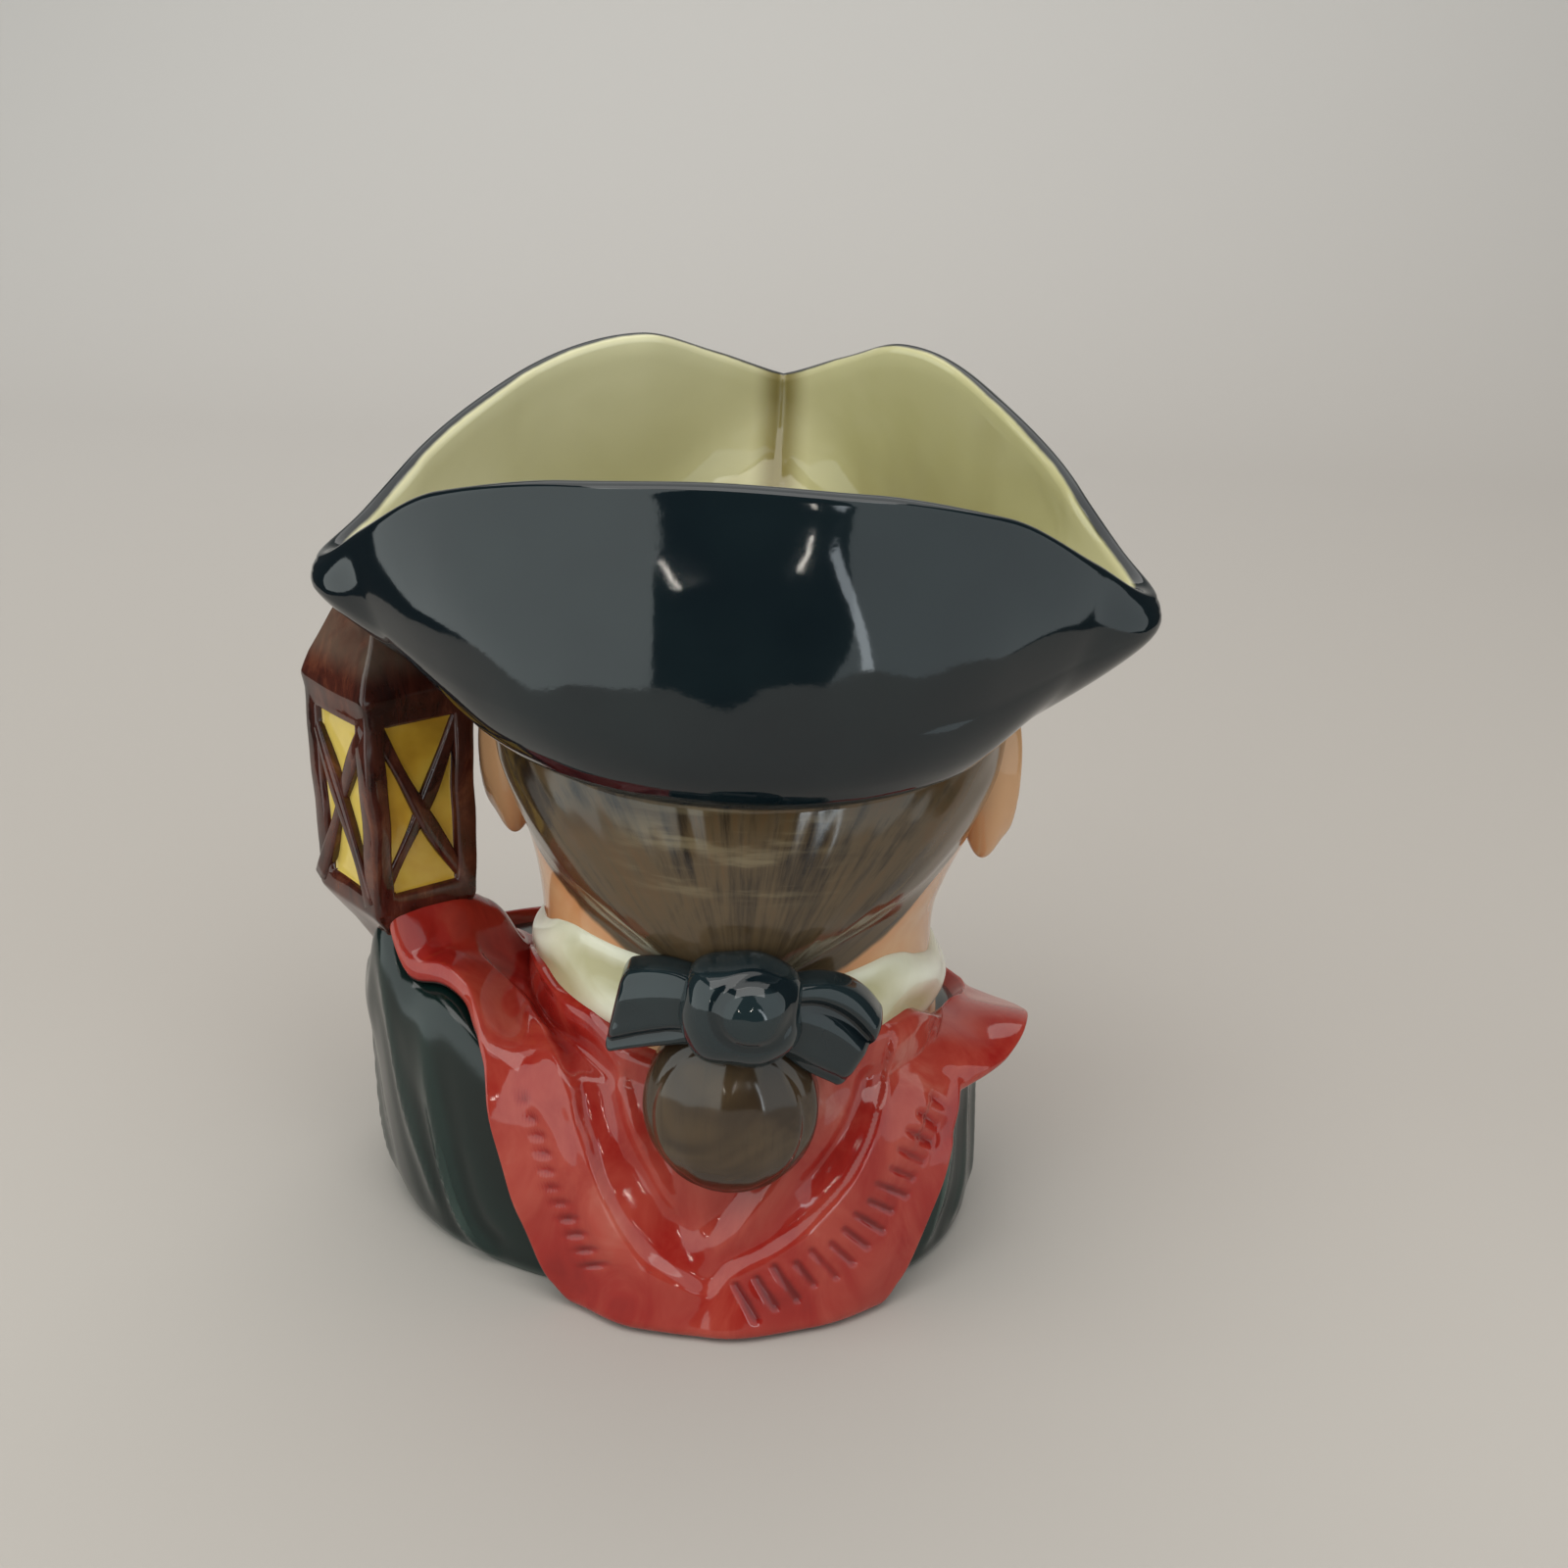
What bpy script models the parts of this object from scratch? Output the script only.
"""A character jug: a hollow bust in a three-cornered hat, with a lantern for its handle.

Metres, +Z up. The foot stands on z = 0 and the head's axis is the Z axis. The face looks
along -Y, the ribbon bow is at +Y and the lantern handle at +X.
"""

import math

import bmesh
import bpy
import numpy as np
from mathutils import Matrix, Vector

# Sizes that the potter sets, in metres
JUG_WIDTH = 0.1684
JUG_DEPTH = 0.1526
JUG_HEIGHT = 0.1778
WALL = 0.0038
FLOOR = 0.0055
COLLAR_THICKNESS = 0.0034
CRAVAT_THICKNESS = 0.0022
LANTERN_SIDE = 0.0248
LANTERN_POST = 0.0044
LANTERN_BAR = 0.003
LANTERN_PANE_DEPTH = 0.0015
STROKE_WIDTH = 0.0016
STROKE_LENGTH = 0.0062
STROKE_DEPTH = 0.0007

# The free form is laid out in shares: 168.4 of them make its width, 152.6 its depth and 177.8 its height
SHARES = np.array((JUG_WIDTH / 168.4, JUG_DEPTH / 152.6, JUG_HEIGHT / 177.8))
SHARE = min(SHARES)
WALL_SHARES = WALL / SHARE
FLOOR_SHARES = FLOOR / SHARE
FOOT_TRIM = 2.0  # the skin runs this far below the foot, where it is cut flat
BLEND = 1.6  # softness of the line where two masses meet
BURIED = 3.2  # how far an applied piece sinks into the wall
COLLAR_SUNK = 1.0  # how far the collar's upper edge starts below the skin

PROFILE_STEPS = 121
DRAPE_STEPS = 41
DRAPE_LOOK = 0.04  # the share of the way down over which a stroke's slope is taken
DRAPE_MEAN_STEPS = 4  # the collar's slope is the mean over this many steps each way
SHELL_COLUMNS = 132
BODY_STEPS = 84
UNDERSIDE_STEPS = 6
BRIM_STEPS = 12
LIP_STEPS = 4
CAVITY_STEPS = 44
COLLAR_ROWS, COLLAR_COLUMNS = 15, 60
CORE_ROWS, CORE_COLUMNS = 60, 24
SHELL_KEPT = 0.112  # the share of the shell's faces that is left after thinning

# Half widths of the masses: (height, towards +X, towards -X, towards +Y, towards -Y)
COAT = (
    (-2, 70.5, 48, 48.5, 48),
    (0, 72.5, 49, 49.5, 49.5),
    (3, 75, 51, 50.5, 52),
    (12, 78, 51.5, 50.5, 53.5),
    (27, 80, 50.5, 49.5, 52),
    (36, 81.5, 50, 48, 46),
    (40, 81, 48.5, 47, 42),
    (43.5, 78.5, 45, 46, 39.5),
    (46, 70, 40, 45, 38),
    (48, 52, 34, 42, 36),
    (52, 34, 26, 34, 30),
)
NECK = (
    (30, 42, 41, 46, 36),
    (62, 41.8, 39.3, 47.5, 38),
    (72, 42.2, 38.7, 48, 39),
    (80, 42.6, 40.5, 48.5, 39),
    (90, 43, 43.5, 49, 40),
    (126, 40, 40, 44, 36),
)
FACE = (
    (40, 8, 8, 10, 34),
    (43, 17, 17, 14, 50),
    (47, 25, 25, 16, 55.5),
    (56, 33, 33, 20, 56),
    (66, 38.5, 37, 26, 54.5),
    (78, 43, 41.3, 34, 54.5),
    (92, 47.5, 46.8, 40, 54.5),
    (106, 50, 50, 46, 54),
    (126, 50.5, 50.5, 46, 51),
)
HAIR = (
    (66, 5, 5, 44, 6),
    (71, 13, 13, 51, 8),
    (75, 21.5, 21.5, 53.5, 10),
    (79, 29, 29, 55, 12),
    (84, 37, 37, 56.5, 15),
    (89, 43, 43, 57, 18),
    (97, 48, 48, 57, 22),
    (106, 51, 51, 56.5, 28),
    (126, 52.5, 52.5, 54, 34),
)
SQUARENESS = 2.15

# The face, which is the same on both sides: (rise, across, up, half width, half height)
FACE_FORMS = (
    (3.2, 8.2, 82, 3.4, 3.6),  # nostrils
    (2.0, 17, 113.5, 12, 3.2),  # brows
    (-5.5, 17, 104.5, 9.5, 6),  # eye sockets
    (4.6, 17.5, 104, 7, 4.2),  # eyes
    (2.2, 27, 90, 12, 9),  # cheeks
    (3.4, 0, 66, 19, 11),  # round the mouth
    (2.0, 0, 69.6, 10.5, 2.3),  # upper lip
    (2.4, 0, 63.6, 9.5, 2.6),  # lower lip
    (-1.9, 0, 66.8, 13, 1.3),  # between the lips
    (-1.6, 0, 59, 10, 2.6),  # under the lower lip
    (3.4, 0, 51.5, 12, 6.5),  # chin
)
# The nose by height: how far it stands out, and how wide it is
NOSE = ((76.5, 0), (79, 3.5), (83.5, 13), (88, 11), (97, 7), (105, 3), (113, 0.5))
NOSE_WIDTH = ((76, 7.5), (84, 7), (96, 4.6), (106, 4.6), (113, 8))

# The locks of hair and the coat's folds: how deep, and the heights from and to which they show
LOCK_DEPTH, LOCK_FROM, LOCK_SOFTNESS = 0.45, 78, 8
LOCKS_MEET = 62  # the locks run together at this height, behind the bow
FOLD_DEPTH, FOLD_SPAN = 0.75, (5, 46, 14)

# The hat, by the angle from the middle of its back: (degrees, reach, height)
CORNER = 70.8  # where each side corner points
RIM = (
    (0, 59.5, 169.5),
    (25, 63, 168.2),
    (46, 70.5, 163.5),
    (60, 77, 154),
    (CORNER, 80.8, 146.5),
    (80, 73.8, 151.5),
    (90, 66, 159.5),
    (117, 57, 171.5),
    (149, 56.5, 178),
    (168, 67, 172),
    (180, 80, 165.5),
)
FOLD = (
    (0, 64.5, 123),
    (25, 65.7, 126),
    (46, 67.9, 129),
    (60, 73.5, 134),
    (CORNER, 84.6, 139.5),
    (80, 74, 137),
    (90, 66, 135),
    (117, 60, 134),
    (149, 63.2, 137),
    (168, 70.8, 146),
    (180, 80.5, 152),
)
ROUNDNESS = ((0, 1.75), (40, 1.7), (60, 1.3), (CORNER, 1.18), (90, 1.4), (117, 1.8), (150, 1.7), (180, 1.3))
UNDERSIDE = ((0, 110.5), (46, 112.5), (60, 116), (90, 119), (117, 118.5), (149, 118.5), (180, 121))
SWELL = ((0, 2.5), (46, 2.2), (60, 1.5), (CORNER, 1.5), (80, 1.2), (90, 1.5), (117, 1.8), (149, 1.8), (180, 0.8))
HAT_SHIFT = ((0, 3.4), (50, 3.2), (CORNER, 2.6), (90, 3.2), (117, 3.2), (150, 1.0), (180, 0))  # the hat sits a little towards +X

# The collar by azimuth in degrees, from one lapel round the back to the other
COLLAR_FROM, COLLAR_TO = -80, 260
NECKLINE = (
    (-80, 32),
    (-50, 43),
    (-20, 46),
    (-6, 49),
    (10, 57),
    (20, 60.5),
    (30, 62),
    (42, 61),
    (55, 60.5),
    (62, 58),
    (66, 55),
    (90, 50),
    (114, 54.5),
    (126, 58),
    (140, 58.5),
    (152, 54),
    (166, 47.5),
    (180, 44.5),
    (195, 41.5),
    (230, 39),
    (260, 32),
)
HEM = (
    (-80, 13),
    (-64, 7),
    (-40, 24),
    (-20, 40),
    (-4, 46),
    (12, 45.5),
    (19, 44),
    (25, 45.6),
    (30, 46),
    (37, 44.5),
    (42, 41),
    (46, 31),
    (51.5, 16),
    (58, 3),
    (62, 0.7),
    (124, 0.7),
    (129, 3.5),
    (138, 20),
    (144, 31),
    (150, 39),
    (158, 39.5),
    (180, 40.5),
    (198, 39),
    (220, 26),
    (244, 7),
    (260, 13),
)
FLARE = (
    (-80, 0.5),
    (10, 1),
    (46, 1.5),
    (60, 2.5),
    (76, 7.5),
    (92, 8),
    (108, 5.5),
    (130, 1.5),
    (148, 3),
    (164, 11),
    (180, 12.6),
    (200, 5),
    (220, 1),
    (260, 0.5),
)

FLARE_UP = ((150, 0), (162, 2), (174, 4.6), (186, 2), (200, 0))  # and how far its wing turns up

# The collar's two folded bands: (azimuth, way down) along their inner edge, which stands up
BAND_EDGE = (
    (12, 0.6),
    (28, 0.52),
    (40, 0.53),
    (46, 0.42),
    (53, 0.31),
    (58, 0.31),
    (67, 0.53),
    (77, 0.72),
    (88, 0.82),
    (100, 0.68),
    (108, 0.6),
    (120, 0.42),
    (128, 0.23),
    (134, -0.1),
)
BAND_RISE, BAND_SOFTNESS = 1.6, 0.1
BAND_FROM, BAND_TO, BAND_FADE = 17, 145, 14  # and the azimuths between which they stand
# The collar's hollows beside the queue: (rise, azimuth, way down, half width, half length)
COLLAR_FOLDS = ((-1.0, 66, 0.25, 7, 0.2), (-1.2, 106, 0.25, 8, 0.2))
COLLAR_TOP = 0.62  # the share of its section that is its top
# Rows of strokes pressed into the collar: (azimuth, way down) at each end, and how many
STROKE_ROWS = ((54, 0.65, 67, 0.83, 5), (101, 0.82, 138, 0.57, 9))

# The cravat's middle and half height, by the angle from the middle of its back
CRAVAT = ((0, 66), (22, 66.5), (40, 67), (50, 66), (60, 63.5), (80, 59), (100, 57), (130, 48), (180, 37))
CRAVAT_HEIGHT = ((0, 9), (40, 9), (60, 7.5), (95, 6.5), (130, 6), (180, 6))
CRAVAT_DROP = ((90, 0), (112, 4), (180, 4), (215, 0))  # by azimuth, how much lower it lies there

# The shoulder under the lantern rises above the other: how far, and over which x and y
SHOULDER_LIFT, SHOULDER_FROM, SHOULDER_RAMP = 11.0, 40, 20
SHOULDER_BACK, SHOULDER_DEPTH = -18, 26
# The ridge that the lantern stands on: x, y and rise at each end, and how far it reaches
RIDGE_START, RIDGE_END, RIDGE_REACH = (54, 6, 7), (74, 21.5, 13.5), 6.5
RIDGE_INSIDE = 0.5  # the share of the ridge that shows in the cavity

# The lantern's heights, and how far its peak leans to the hat
LANTERN_CENTRE = (73, 9)
LANTERN_TURN = 43.5  # degrees from +X to the way its outer pane looks
LANTERN_FOOT, LANTERN_BASE, LANTERN_EAVES, LANTERN_PEAK = 56, 70, 112.8, 138
LANTERN_LEAN = (-2.8, 2)
PANE_TOP_UP, PANE_BOTTOM_DOWN = 1.7, 0.4  # the rails over and under a pane are thinner than the posts

# Small forms: (x, y, z) and half sizes
EAR, EAR_SIZE = (49.5, -1, 97.5), (8, 10, 18.5)
KNOT, KNOT_SIZE = (-3.6, 61, 73.4), (11.5, 10.5, 10.6)
QUEUE, QUEUE_SIZE = (-1.8, 54.5, 50), (16.8, 12.5, 18.6)
JABOT, JABOT_SIZE = (0, -46, 27), (12, 9, 17)
BUTTON, BUTTON_SIZE = (0, -53, 6.5), (3.2, 2, 3.2)
# The bow's loops: where each starts and ends, its half depth and half height there, and its end's lean
LOOP_X = ((3, 58.5, 72), (19.8, 52.5, 68.3), (5, 6.4), (5.4, 8.9), (-0.2, 0, 0.98))
LOOP_MINUS_X = ((-10, 58.5, 72.5), (-25.2, 51.8, 63.3), (5, 6.6), (5.4, 8.2), (-0.52, -0.2, 0.83))


def through(keys, place, pointed=False):
    """A smooth line through (place, value) keys, which never overshoots them."""
    spots, values = np.array(keys, float).T
    rises = np.diff(values) / np.diff(spots)
    before, after = rises[:-1], rises[1:]
    turns = before * after <= 0
    inner = np.where(turns, 0, 2 * before * after / np.where(turns, 1, before + after))
    slopes = np.concatenate([[0], inner, [rises[-1] if pointed else 0]])
    place = np.clip(place, spots[0], spots[-1])
    k = np.clip(np.searchsorted(spots, place, side="right") - 1, 0, len(rises) - 1)
    span = spots[k + 1] - spots[k]
    t = (place - spots[k]) / span
    rise = values[k + 1] - values[k]
    start, end = slopes[k] * span, slopes[k + 1] * span
    return values[k] + t * start + t * t * (3 * rise - 2 * start - end) + t**3 * (start + end - 2 * rise)


def reach_of(mass, angle, height):
    """How far a mass reaches from the axis, from its four half widths at that height."""
    widths = [through([(row[0], row[k]) for row in mass], height) for k in range(1, 5)]
    c, s = np.cos(angle), np.sin(angle)
    across = np.abs(c) / np.where(c > 0, widths[0], widths[1])
    along = np.abs(s) / np.where(s > 0, widths[2], widths[3])
    return (across**SQUARENESS + along**SQUARENESS) ** (-1 / SQUARENESS)


def body_reach(angle, height):
    masses = [reach_of(mass, angle, height) for mass in (COAT, NECK, FACE, HAIR)]
    return BLEND * np.log(sum(np.exp(mass / BLEND) for mass in masses))


def coat_reach(angle, height):
    masses = [reach_of(mass, angle, height) for mass in (COAT, NECK)]
    return BLEND * np.log(sum(np.exp(mass / BLEND) for mass in masses))


def from_back(angle):
    """The angle from the middle of the back in degrees, the same on both sides."""
    return np.abs((np.degrees(angle) - 90 + 180) % 360 - 180)


def hat_lines(angle):
    w = from_back(angle)
    return {
        "under": through(UNDERSIDE, w),
        "roundness": through(ROUNDNESS, w),
        "fold_reach": through([key[:2] for key in FOLD], w, pointed=True),
        "fold": through([key[::2] for key in FOLD], w, pointed=True),
        "rim_reach": through([key[:2] for key in RIM], w, pointed=True),
        "rim": through([key[::2] for key in RIM], w, pointed=True),
        "swell": through(SWELL, w),
    }


def outside_reach(angle, height):
    """The plain outside, without its carving: the body, the hat's rounded underside, its brim."""
    hat = hat_lines(angle)
    body = body_reach(angle, np.minimum(height, hat["under"]))
    drop = np.clip((hat["fold"] - height) / (hat["fold"] - hat["under"]), 0, 1)
    out = (1 - drop ** hat["roundness"]) ** (1 / hat["roundness"])
    under = body + (hat["fold_reach"] - body) * out
    up = np.clip((height - hat["fold"]) / (hat["rim"] - hat["fold"]), 0, 1)
    brim = hat["fold_reach"] + (hat["rim_reach"] - hat["fold_reach"]) * up
    brim += hat["swell"] * np.sin(math.pi * up)
    return np.where(height < hat["under"], body, np.where(height < hat["fold"], under, brim))


def drawn_in(angle, height):
    """The outside drawn in by the wall's thickness, in plan and in height."""
    step = math.radians(1.5)
    here = outside_reach(angle, height)
    slope = (outside_reach(angle + step, height) - outside_reach(angle - step, height)) / (2 * step)
    lean = np.maximum(here / np.hypot(here, slope), 0.6)
    depths = []
    for k in range(-3, 4):
        rise = WALL_SHARES * k / 3
        inward = math.sqrt(WALL_SHARES**2 - rise**2)
        depths.append(outside_reach(angle, np.maximum(height + rise, FLOOR_SHARES)) - inward / lean)
    return np.min(depths, axis=0)


def inside_reach(angle, height):
    """The cavity, with its steps softened towards the thicker wall."""
    sharp = drawn_in(angle, height)
    below = [drawn_in(angle, np.maximum(height - 1.8 * k, FLOOR_SHARES)) for k in range(8)]
    return np.minimum(sharp, np.mean(below, axis=0))


def bump(x, z, across, up, wide, tall):
    """A soft round rise of height 1 at (across, up)."""
    return np.exp(-(((x - across) / wide) ** 2) - ((z - up) / tall) ** 2)


def eased(value):
    """0 below 0, 1 above 1 and a soft step between them."""
    value = np.clip(value, 0, 1)
    return value * value * (3 - 2 * value)


def window(value, start, end, soft):
    """1 between start and end, and 0 outside them."""
    return eased((value - start) / soft + 0.5) * eased((end - value) / soft + 0.5)


def face_relief(x, height):
    side = np.abs(x)
    relief = through(NOSE, height) * np.exp(-((x / through(NOSE_WIDTH, height)) ** 2))
    return relief + sum(rise * bump(side, height, *form) for rise, *form in FACE_FORMS)


def hair_relief(x, height):
    """Locks combed down and in to the bow."""
    fan = np.arctan2(x - KNOT[0], height - LOCKS_MEET)
    locks = np.cos(fan * 16) + 0.5 * np.cos(fan * 37 + 0.7)
    return LOCK_DEPTH * locks * eased((height - LOCK_FROM) / LOCK_SOFTNESS + 0.5)


def coat_relief(angle, height):
    """Folds that fall from the shoulders to the foot."""
    lean = np.radians(height)
    folds = np.cos(angle * 14 + lean * 1.6) + 0.6 * np.cos(angle * 23 - lean)
    return FOLD_DEPTH * folds * window(height, *FOLD_SPAN)


def carving(angle, height, reach):
    """The relief on the outside: the face, the locks of hair and the folds of the coat."""
    x = reach * np.cos(angle)
    ahead = np.clip(-np.sin(angle) * 1.6, 0, 1)
    hair = window(reach_of(HAIR, angle, height) - reach_of(NECK, angle, height), 1, 99, 3)
    hair = hair * np.clip(np.sin(angle) * 2.5, 0, 1)
    relief = ahead * face_relief(x, height) + hair * hair_relief(x, height)
    return relief + coat_relief(angle, height)


def glaze(name, colour, roughness=0.12):
    material = bpy.data.materials.new(name)
    material.use_nodes = True
    shader = material.node_tree.nodes["Principled BSDF"]
    shader.inputs["Base Color"].default_value = (*colour, 1)
    shader.inputs["Roughness"].default_value = roughness
    shader.inputs["Metallic"].default_value = 0
    return material


def finished(name, form, material, helper=True):
    """An object made from a bmesh. A helper is only joined to the jug or cut from it."""
    bmesh.ops.triangulate(form, faces=[face for face in form.faces if len(face.verts) > 4])
    bmesh.ops.recalc_face_normals(form, faces=form.faces)
    mesh = bpy.data.meshes.new(name)
    form.to_mesh(mesh)
    form.free()
    mesh.materials.append(material)
    mesh.shade_smooth()
    made = bpy.data.objects.new(name, mesh)
    bpy.context.scene.collection.objects.link(made)
    if helper:
        made.hide_render = True
        made.display_type = "WIRE"
    return made


def sleeve(around, along, place):
    """A grid bent into a sleeve by place(turn, way), both from 0 to 1, sewn and capped."""
    form = bmesh.new()
    bmesh.ops.create_grid(form, x_segments=around, y_segments=along, size=0.5)
    flat = np.array([vert.co for vert in form.verts]) + 0.5
    for vert, spot in zip(form.verts, place(flat[:, 0], flat[:, 1])):
        vert.co = spot
    bmesh.ops.remove_doubles(form, verts=form.verts, dist=1e-6)
    bmesh.ops.holes_fill(form, edges=form.edges, sides=0)
    return form


def ridge_rise(x, y):
    """The rise of the ridge under the lantern, by its distance from the ridge's middle line."""
    start, end = np.array(RIDGE_START), np.array(RIDGE_END)
    way = (end - start)[:2]
    along = np.clip(((x - start[0]) * way[0] + (y - start[1]) * way[1]) / (way @ way), 0, 1)
    away = np.hypot(x - start[0] - along * way[0], y - start[1] - along * way[1])
    return (start[2] + (end[2] - start[2]) * along) * np.exp(-((away / RIDGE_REACH) ** 3))


def round_points(angle, reach, height, ridge=1.0):
    """Points at these reaches, with the shoulder under the lantern raised."""
    x, y = reach * np.cos(angle), reach * np.sin(angle)
    ramp = eased((x - SHOULDER_FROM) / SHOULDER_RAMP) * eased((y - SHOULDER_BACK) / SHOULDER_DEPTH)
    lift = (SHOULDER_LIFT * ramp + ridge * ridge_rise(x, y)) * window(height, 24, 82, 40)
    return np.stack([x, y, height + lift], axis=1) * SHARES


def hat_shift(angle, height):
    """The hat sits a little towards +X of the head."""
    hat = hat_lines(angle)
    raised = np.clip((height - hat["under"]) / (hat["fold"] - hat["under"]), 0, 1)
    along_x = through(HAT_SHIFT, from_back(angle)) * raised
    return np.stack([along_x, np.zeros_like(along_x), np.zeros_like(along_x)], axis=1) * SHARES


def along_rows(share, length, rows):
    """Each row's value at that share of its own length."""
    return np.array([np.interp(spot, steps, row) for spot, steps, row in zip(share, length, rows)])


def even_heights(reach_at, angle, share, start, end):
    """Heights that lie at even steps along each column's profile, from start to end."""
    columns, first, index = np.unique(angle.ravel(), return_index=True, return_inverse=True)
    start, end = start.ravel()[first][:, None], end.ravel()[first][:, None]
    heights = start + (end - start) * np.linspace(0, 1, PROFILE_STEPS)
    steps = np.hypot(np.diff(heights), np.diff(reach_at(columns[:, None], heights)))
    length = np.concatenate([np.zeros((len(columns), 1)), np.cumsum(steps, axis=1)], axis=1)
    length /= length[:, -1:]
    return along_rows(share, length[index], heights[index])


def softened(row):
    """A row of values, each the mean of its neighbours."""
    near = 2 * DRAPE_MEAN_STEPS + 1
    padded = np.pad(row, DRAPE_MEAN_STEPS, mode="edge")
    return np.convolve(padded, np.ones(near) / near, "valid")


def shell_point(turn, way):
    """The jug's skin row by row: up the outside, over the lip, down the cavity to its floor."""
    marks = np.cumsum([BODY_STEPS, UNDERSIDE_STEPS, BRIM_STEPS, LIP_STEPS, CAVITY_STEPS])
    angle, row = turn * math.tau, np.rint(way * marks[-1])
    hat = hat_lines(angle)
    lip = WALL_SHARES / 2
    lip_start = hat["rim"] - lip
    arc = np.clip((row - marks[0]) / UNDERSIDE_STEPS, 0, 1) * math.pi / 2
    up = np.clip((row - marks[1]) / BRIM_STEPS, 0, 1)
    over = np.clip((row - marks[2]) / LIP_STEPS, 0, 1) * math.pi
    down = np.clip((row - marks[3]) / CAVITY_STEPS, 0, 1)
    foot = np.full_like(angle, -FOOT_TRIM)
    body_height = even_heights(body_reach, angle, np.clip(row / marks[0], 0, 1), foot, hat["under"])
    under_height = hat["fold"] - (hat["fold"] - hat["under"]) * np.cos(arc) ** (2 / hat["roundness"])
    brim_height = hat["fold"] + up * (lip_start - hat["fold"])
    outer_height = np.select([row <= marks[0], row <= marks[1]], [body_height, under_height], brim_height)
    outer = outside_reach(angle, outer_height)
    outer += np.where(row <= marks[0], carving(angle, outer_height, outer), 0)
    cavity_height = even_heights(inside_reach, angle, down, lip_start, np.full_like(angle, FLOOR_SHARES))
    inner = inside_reach(angle, cavity_height)
    lip_out, lip_in = outside_reach(angle, lip_start), inside_reach(angle, lip_start)
    lip_reach = (lip_out + lip_in) / 2 + (lip_out - lip_in) / 2 * np.cos(over)
    zones = [row <= marks[2], row <= marks[3]]
    reach = np.select(zones, [outer, lip_reach], inner)
    height = np.select(zones, [outer_height, lip_start + lip * np.sin(over)], cavity_height)
    ridge = np.where(row <= marks[3], 1, RIDGE_INSIDE)
    return round_points(angle, reach, height, ridge) + hat_shift(angle, height)


def core_point(turn, way):
    """A form a little larger than the cavity, which keeps the applied pieces out of it."""
    angle = turn * math.tau
    top = hat_lines(angle)["rim"] - WALL_SHARES
    low = FLOOR_SHARES / 2
    height = low + way * (top - low)
    reach = inside_reach(angle, np.maximum(height, FLOOR_SHARES)) + WALL_SHARES / 4
    return round_points(angle, reach, height, RIDGE_INSIDE) + hat_shift(angle, height)


def collar_relief(azimuth, way):
    """Two folded bands that fall each side of the queue, and the hollows between them."""
    stand = window(azimuth, BAND_FROM, BAND_TO, BAND_FADE)
    band = BAND_RISE * stand * eased((way - through(BAND_EDGE, azimuth)) / BAND_SOFTNESS + 0.5)
    return band + sum(rise * bump(azimuth, way, *fold) for rise, *fold in COLLAR_FOLDS)


def collar_point(turn, way):
    """The collar's section, draped on the coat: down its top, round its hem, up inside the wall."""
    azimuth = COLLAR_FROM + way * (COLLAR_TO - COLLAR_FROM)
    angle = np.radians(azimuth)
    neckline, hem, flare = through(NECKLINE, azimuth), through(HEM, azimuth), through(FLARE, azimuth)
    even = np.tile(np.linspace(0, 1, DRAPE_STEPS), (len(angle), 1))
    heights = even_heights(coat_reach, angle[:, None], even, neckline[:, None], hem[:, None])
    reaches = coat_reach(angle[:, None], heights)
    slopes = np.arctan2(-np.gradient(heights, axis=1), np.gradient(reaches, axis=1))
    slopes = np.array([softened(row) for row in slopes])
    out = turn <= COLLAR_TOP
    back = np.clip(1 - (turn - COLLAR_TOP) / (1 - COLLAR_TOP), 0, 1) ** 1.5
    t = np.where(out, turn / COLLAR_TOP, back)
    height, slope = along_rows(t, even, heights), along_rows(t, even, slopes)
    reach = coat_reach(angle, height)
    body = window(t, 0.03, 2, 0.1) * (COLLAR_THICKNESS / SHARE + COLLAR_SUNK) - COLLAR_SUNK
    body += collar_relief(azimuth, t) * window(t, 0.1, 0.95, 0.16)
    tip = np.clip((turn - COLLAR_TOP) / 0.07, 0, 1)
    off = np.where(out, body, body + (-BURIED - body) * tip)
    reach += off * np.sin(slope) + flare * t**3 * np.where(out, 1, 1 - tip)
    height += off * np.cos(slope) - np.where(out, 0, np.sin(math.pi * tip) * 0.5)
    height += through(FLARE_UP, azimuth) * t**2 * np.where(out, 1, 1 - tip)
    return round_points(angle, reach, np.maximum(height, 0.6))


def cravat_point(turn, way):
    """A band round the neck, low under the chin and high at the nape."""
    angle = way * math.tau
    w = from_back(angle)
    middle = through(CRAVAT, w) - through(CRAVAT_DROP, np.degrees(angle))
    tall = through(CRAVAT_HEIGHT, w)
    thick = CRAVAT_THICKNESS / SHARE
    pleat = 0.35 * np.sin(2 * math.tau * turn + 3) * np.cos(w / 12)
    height = middle + tall * np.sin(turn * math.tau)
    reach = reach_of(NECK, angle, middle) - 0.4
    return round_points(angle, reach + (thick + 0.8 + pleat) * np.cos(turn * math.tau), height)


def ring_of(around, along, place):
    """A closed ring, from a grid bent by place(turn, way) and sewn along both its seams."""
    form = bmesh.new()
    bmesh.ops.create_grid(form, x_segments=around, y_segments=along, size=0.5)
    flat = np.array([vert.co for vert in form.verts]) + 0.5
    for vert, spot in zip(form.verts, place(flat[:, 0], flat[:, 1])):
        vert.co = spot
    bmesh.ops.remove_doubles(form, verts=form.verts, dist=1e-6)
    return form


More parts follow.
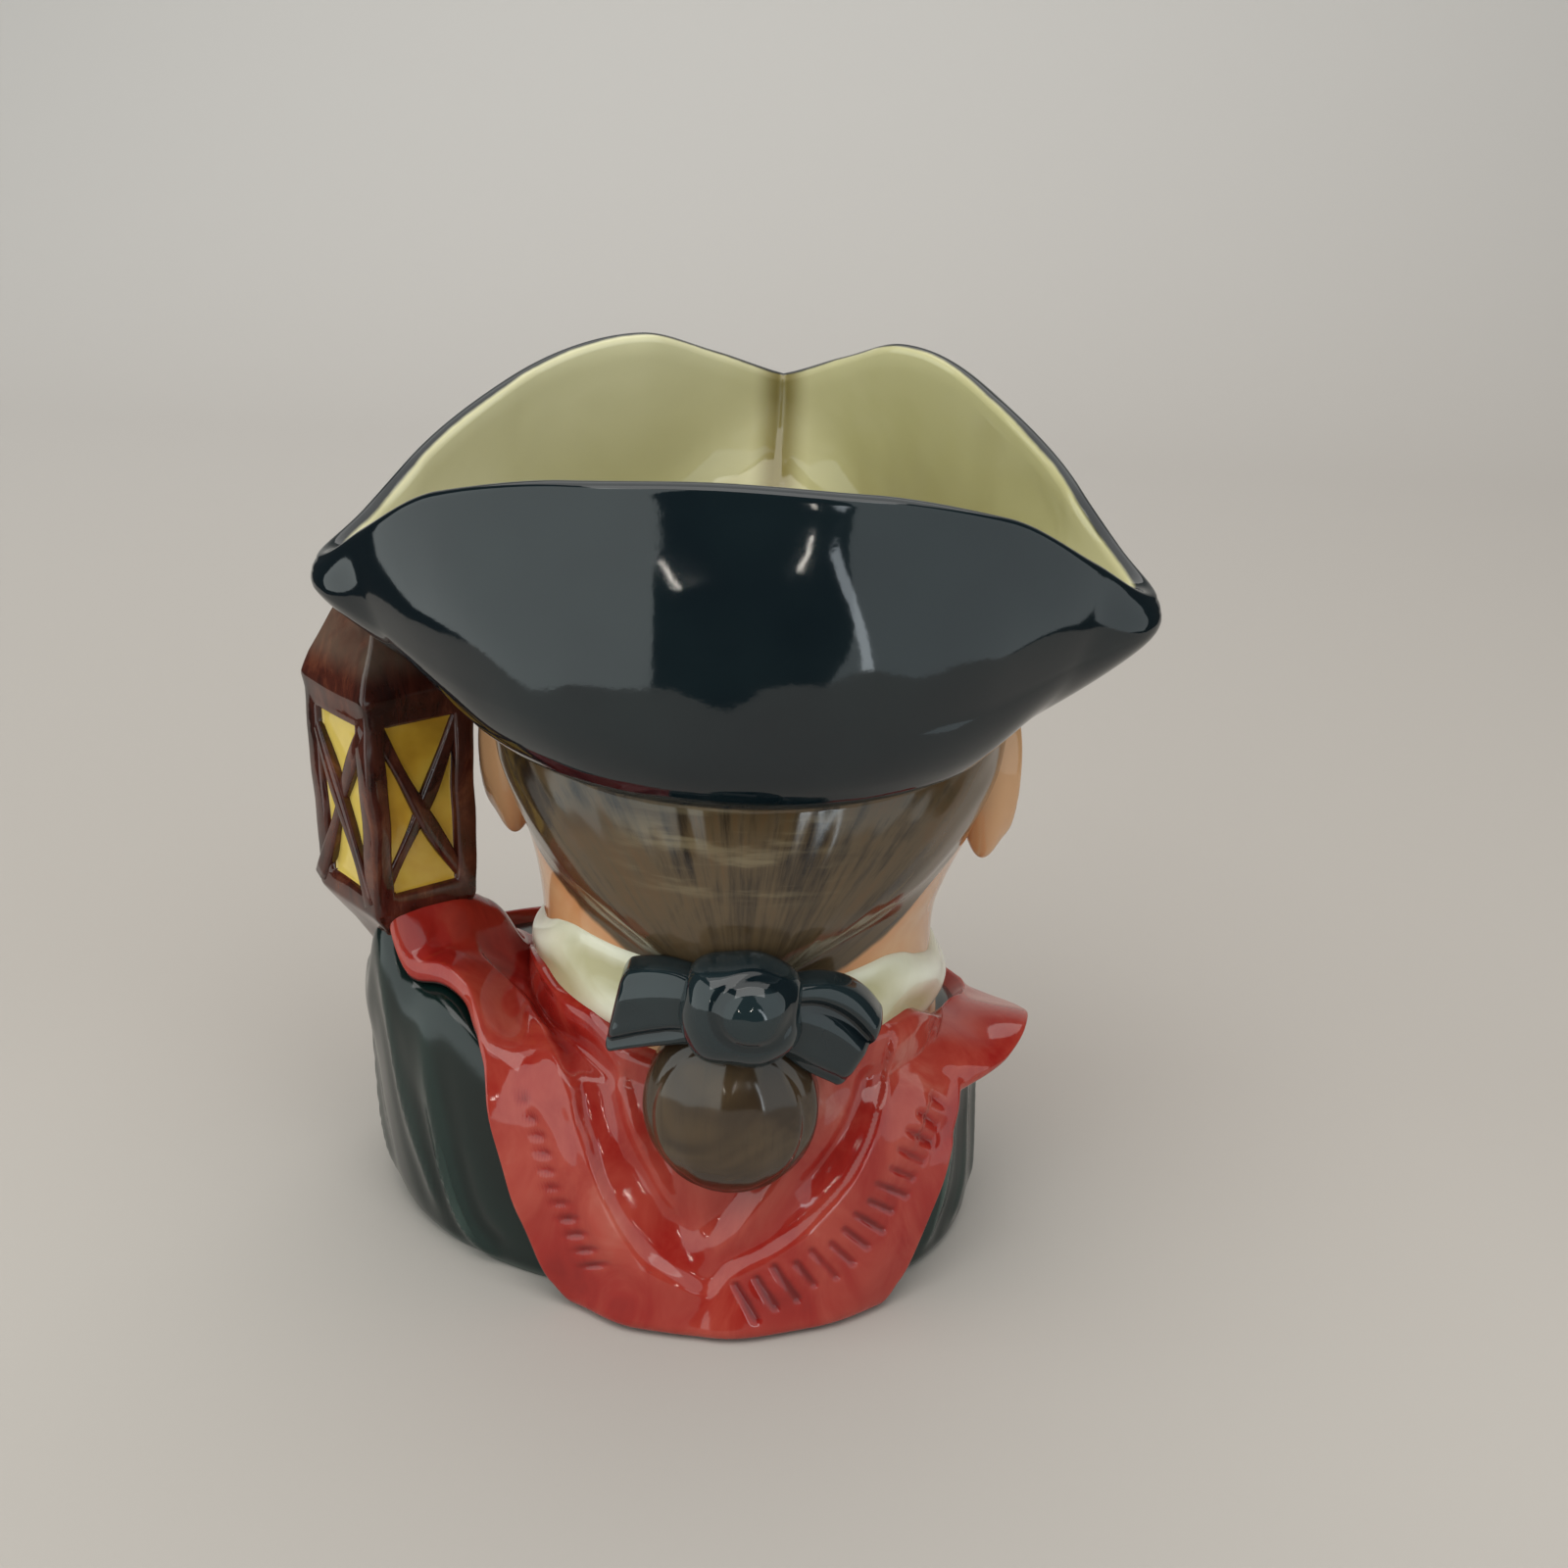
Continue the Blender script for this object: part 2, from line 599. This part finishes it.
def ball(spot, size, columns=20, rows=14, shape=None):
    """A ball stretched to three half sizes, and shaped by shape(x, y, z) in shares of them."""
    form = bmesh.new()
    bmesh.ops.create_uvsphere(form, u_segments=columns, v_segments=rows, radius=1)
    for vert in form.verts:
        x, y, z = shape(*vert.co) if shape else vert.co
        vert.co = (np.array(spot) + np.array(size) * (x, y, z)) * SHARES
    return form


def make_ear(side, skin):
    def shape(x, y, z):
        out = x * (0.82 + 0.24 * z)
        dip = 0.42 * bump(y, z, -0.25, 0.15, 0.42, 0.5) * max(x, 0)
        return (out - dip) * side, y * (0.8 + 0.25 * z), z

    spot = (EAR[0] * side, EAR[1], EAR[2])
    return finished("ear_x" if side > 0 else "ear_minus_x", ball(spot, EAR_SIZE, 16, 12, shape), skin)


def make_knot(ribbon):
    def shape(x, y, z):
        wrap = 1 + 0.05 * math.cos(9 * math.atan2(x, z)) * (1 - abs(y))
        return x * wrap, y, z * wrap

    return finished("bow_knot", ball(KNOT, KNOT_SIZE, 16, 10, shape), ribbon)


def make_loop(name, start, end, small, large, lean, ribbon):
    """A ribbon loop that widens from the knot, with a slanting end."""
    start, end, small, large, lean = (np.array(value) for value in (start, end, small, large, lean))

    def place(turn, way):
        q = turn * math.tau
        grow = np.sin(way * math.pi / 2)[:, None]
        open_up = small + (large - small) * grow
        upright = np.array((0, 0, 1)) * (1 - grow) + lean * grow
        flat = (np.abs(np.cos(q)) ** 3.5 + np.abs(np.sin(q)) ** 3.5) ** (-1 / 3.5)
        y = open_up[:, 0] * np.cos(q) * flat
        z = open_up[:, 1] * np.sin(q) * flat
        middle = start + (end - start) * way[:, None]
        middle[:, 2] += (start - end)[2] * (way - way**2) * 0.9
        return (middle + y[:, None] * np.array((0, 1, 0)) + z[:, None] * upright) * SHARES

    return finished(name, sleeve(12, 5, place), ribbon)


def make_queue(hair):
    def shape(x, y, z):
        strand = 1 + 0.03 * math.cos(8 * math.atan2(x, y))
        return x * strand, y * strand, z

    return finished("queue", ball(QUEUE, QUEUE_SIZE, 20, 12, shape), hair)


def make_jabot(linen):
    def shape(x, y, z):
        wide = 0.62 + 0.38 * math.cos(math.pi * z / 2) - 0.25 * z
        ruffle = 1 + 0.12 * math.cos(x * 9)
        return x * wide, y * ruffle, z

    return finished("jabot", ball(JABOT, JABOT_SIZE, 18, 10, shape), linen)


def lantern_ring(height, half, lean):
    x = (LANTERN_CENTRE[0] + LANTERN_LEAN[0] * lean) * SHARES[0]
    y = (LANTERN_CENTRE[1] + LANTERN_LEAN[1] * lean) * SHARES[1]
    corner = half * math.sqrt(2)
    turns = [math.radians(LANTERN_TURN + 45 + 90 * k) for k in range(4)]
    return [(x + corner * math.cos(q), y + corner * math.sin(q), height * SHARES[2]) for q in turns]


def make_lantern(iron):
    """A square lantern: a foot that tapers to the shoulder, recessed panes and a tall hipped roof."""
    half = LANTERN_SIDE / 2
    rings = (
        (LANTERN_FOOT, half * 0.35, 1.3),
        (LANTERN_BASE - 7, half * 0.62, 0.9),
        (LANTERN_BASE - 1.2, half * 0.9, 0.5),
        (LANTERN_BASE, half * 0.95, 0.4),
        (LANTERN_EAVES, half, 0),
        (LANTERN_EAVES + 3.2, half * 1.03, 0),
        (LANTERN_EAVES + 8, half * 0.92, 0.1),
        (LANTERN_PEAK, half * 0.5, 1),
        (LANTERN_PEAK + 3, half * 0.4, 1.2),
    )
    form = bmesh.new()
    loops = [[form.verts.new(spot) for spot in lantern_ring(*ring)] for ring in rings]
    panes = []
    for k, (low, high) in enumerate(zip(loops, loops[1:])):
        for side in range(4):
            after = (side + 1) % 4
            face = form.faces.new((low[side], low[after], high[after], high[side]))
            if k == 3:
                panes.append(face)
    form.faces.new(loops[0][::-1])
    form.faces.new(loops[-1])
    form.normal_update()
    bmesh.ops.inset_individual(form, faces=panes, thickness=LANTERN_POST, use_even_offset=True)
    middle = (LANTERN_BASE + LANTERN_EAVES) / 2 * SHARES[2]
    for vert in {vert for face in panes for vert in face.verts}:
        vert.co.z += (PANE_TOP_UP if vert.co.z > middle else -PANE_BOTTOM_DOWN) * SHARES[2]
    bmesh.ops.inset_individual(form, faces=panes, thickness=0.0004, depth=-LANTERN_PANE_DEPTH)
    return finished("lantern", form, iron)


def make_bars(name, slope, iron):
    """One crossing bar on each pane. The bars of a set don't meet."""
    form = bmesh.new()
    tall = (LANTERN_EAVES - LANTERN_BASE) * SHARES[2] - LANTERN_POST
    wide = LANTERN_SIDE - LANTERN_POST
    lean = math.atan2(wide, tall) * slope
    middle = np.array((*LANTERN_CENTRE, (LANTERN_EAVES + LANTERN_BASE) / 2)) * SHARES
    for k in range(4):
        turn = math.radians(LANTERN_TURN + 90 * k)
        place = Matrix.Translation(middle) @ Matrix.Rotation(turn, 4, "Z")
        place @= Matrix.Translation((LANTERN_SIDE / 2 - LANTERN_PANE_DEPTH - 0.0002, 0, 0))
        place @= Matrix.Rotation(lean, 4, "X")
        place @= Matrix.Diagonal((LANTERN_PANE_DEPTH * 2, LANTERN_BAR, math.hypot(tall, wide), 1))
        bmesh.ops.create_cube(form, size=1, matrix=place)
    return finished(name, form, iron)


def collar_spot(azimuth, way):
    """The point on the collar's top at this azimuth and this share of the way down."""
    turn = (azimuth - COLLAR_FROM) / (COLLAR_TO - COLLAR_FROM)
    return Vector(collar_point(np.array([way * COLLAR_TOP]), np.array([turn]))[0])


def make_strokes(slip):
    """Two rows of shallow strokes pressed into the collar's bands, each square to its row."""
    form = bmesh.new()
    for start, low, end, high, count in STROKE_ROWS:
        for k in range(count):
            share = k / (count - 1)
            azimuth, way = start + (end - start) * share, low + (high - low) * share
            spot = collar_spot(azimuth, way)
            along = collar_spot(azimuth + (end - start) / count, way + (high - low) / count) - spot
            outward = along.cross(collar_spot(azimuth, way + DRAPE_LOOK) - spot)
            axes = (outward.normalized(), along.normalized(), outward.cross(along).normalized())
            place = Matrix(axes).transposed().to_4x4()
            place.translation = spot
            place @= Matrix.Diagonal((STROKE_DEPTH * 2, STROKE_WIDTH, STROKE_LENGTH, 1))
            bmesh.ops.create_cube(form, size=1, matrix=place)
    return finished("strokes", form, slip)


def foot_cutter(slip):
    form = bmesh.new()
    depth = 10 * FOOT_TRIM * SHARES[2]
    wide = Matrix.Diagonal((2 * JUG_WIDTH, 2 * JUG_DEPTH, depth, 1))
    bmesh.ops.create_cube(form, size=1, matrix=Matrix.Translation((0, 0, -depth / 2)) @ wide)
    return finished("foot_cutter", form, slip)


def use_boolean(jug, other, operation):
    modifier = jug.modifiers.new(other.name, "BOOLEAN")
    modifier.operation = operation
    modifier.object = other
    modifier.solver = "MANIFOLD"
    modifier.material_mode = "TRANSFER"


def fill_pockets(jug):
    """Makes the joined jug one skin: a pocket closed between a piece and the wall is filled."""
    form = bmesh.new()
    form.from_object(jug, bpy.context.evaluated_depsgraph_get())
    seen, skins = set(), []
    for start in form.faces:
        if start in seen:
            continue
        seen.add(start)
        skin = [start]
        for face in skin:
            shared = [edge.link_faces for edge in face.edges if len(edge.link_faces) == 2]
            beside = {other for pair in shared for other in pair} - seen
            seen |= beside
            skin.extend(beside)
        skins.append(skin)
    skins.sort(key=len)
    pockets = [face for skin in skins[:-1] for face in skin]
    bmesh.ops.delete(form, geom=pockets, context="FACES")
    jug.modifiers.clear()
    form.to_mesh(jug.data)
    form.free()


def main():
    for old in list(bpy.data.objects):
        bpy.data.objects.remove(old)
    coat = glaze("bottle_green_glaze", (0.03, 0.075, 0.065))
    cloth = glaze("red_glaze", (0.42, 0.035, 0.03))
    linen = glaze("cream_glaze", (0.72, 0.68, 0.5))
    skin = glaze("flesh_glaze", (0.8, 0.36, 0.16))
    ribbon = glaze("black_glaze", (0.012, 0.017, 0.02))
    hair = glaze("grey_brown_glaze", (0.13, 0.095, 0.06))
    iron = glaze("brown_glaze", (0.09, 0.02, 0.015))

    shell_rows = BODY_STEPS + UNDERSIDE_STEPS + BRIM_STEPS + LIP_STEPS + CAVITY_STEPS
    jug = finished("character_jug", sleeve(SHELL_COLUMNS, shell_rows, shell_point), coat, helper=False)
    core = finished("core", sleeve(CORE_ROWS, CORE_COLUMNS, core_point), coat)
    collar = finished("collar", sleeve(COLLAR_ROWS, COLLAR_COLUMNS, collar_point), cloth)
    use_boolean(collar, make_strokes(cloth), "DIFFERENCE")
    deep = [
        finished("cravat", ring_of(9, 42, cravat_point), linen),
        make_ear(1, skin),
        make_ear(-1, skin),
        make_queue(hair),
        make_loop("bow_loop_x", *LOOP_X, ribbon),
        make_loop("bow_loop_minus_x", *LOOP_MINUS_X, ribbon),
        make_knot(ribbon),
        make_jabot(linen),
        make_lantern(iron),
        collar,
    ]
    shallow = [
        finished("button", ball(BUTTON, BUTTON_SIZE, 10, 6), coat),
        make_bars("rising_bars", 1, iron),
        make_bars("falling_bars", -1, iron),
    ]
    thinned = jug.modifiers.new("thinned", "DECIMATE")
    thinned.ratio = SHELL_KEPT
    for piece in deep:
        use_boolean(piece, core, "DIFFERENCE")
    for piece in deep + shallow:
        use_boolean(jug, piece, "UNION")
    use_boolean(jug, foot_cutter(coat), "DIFFERENCE")
    fill_pockets(jug)


main()
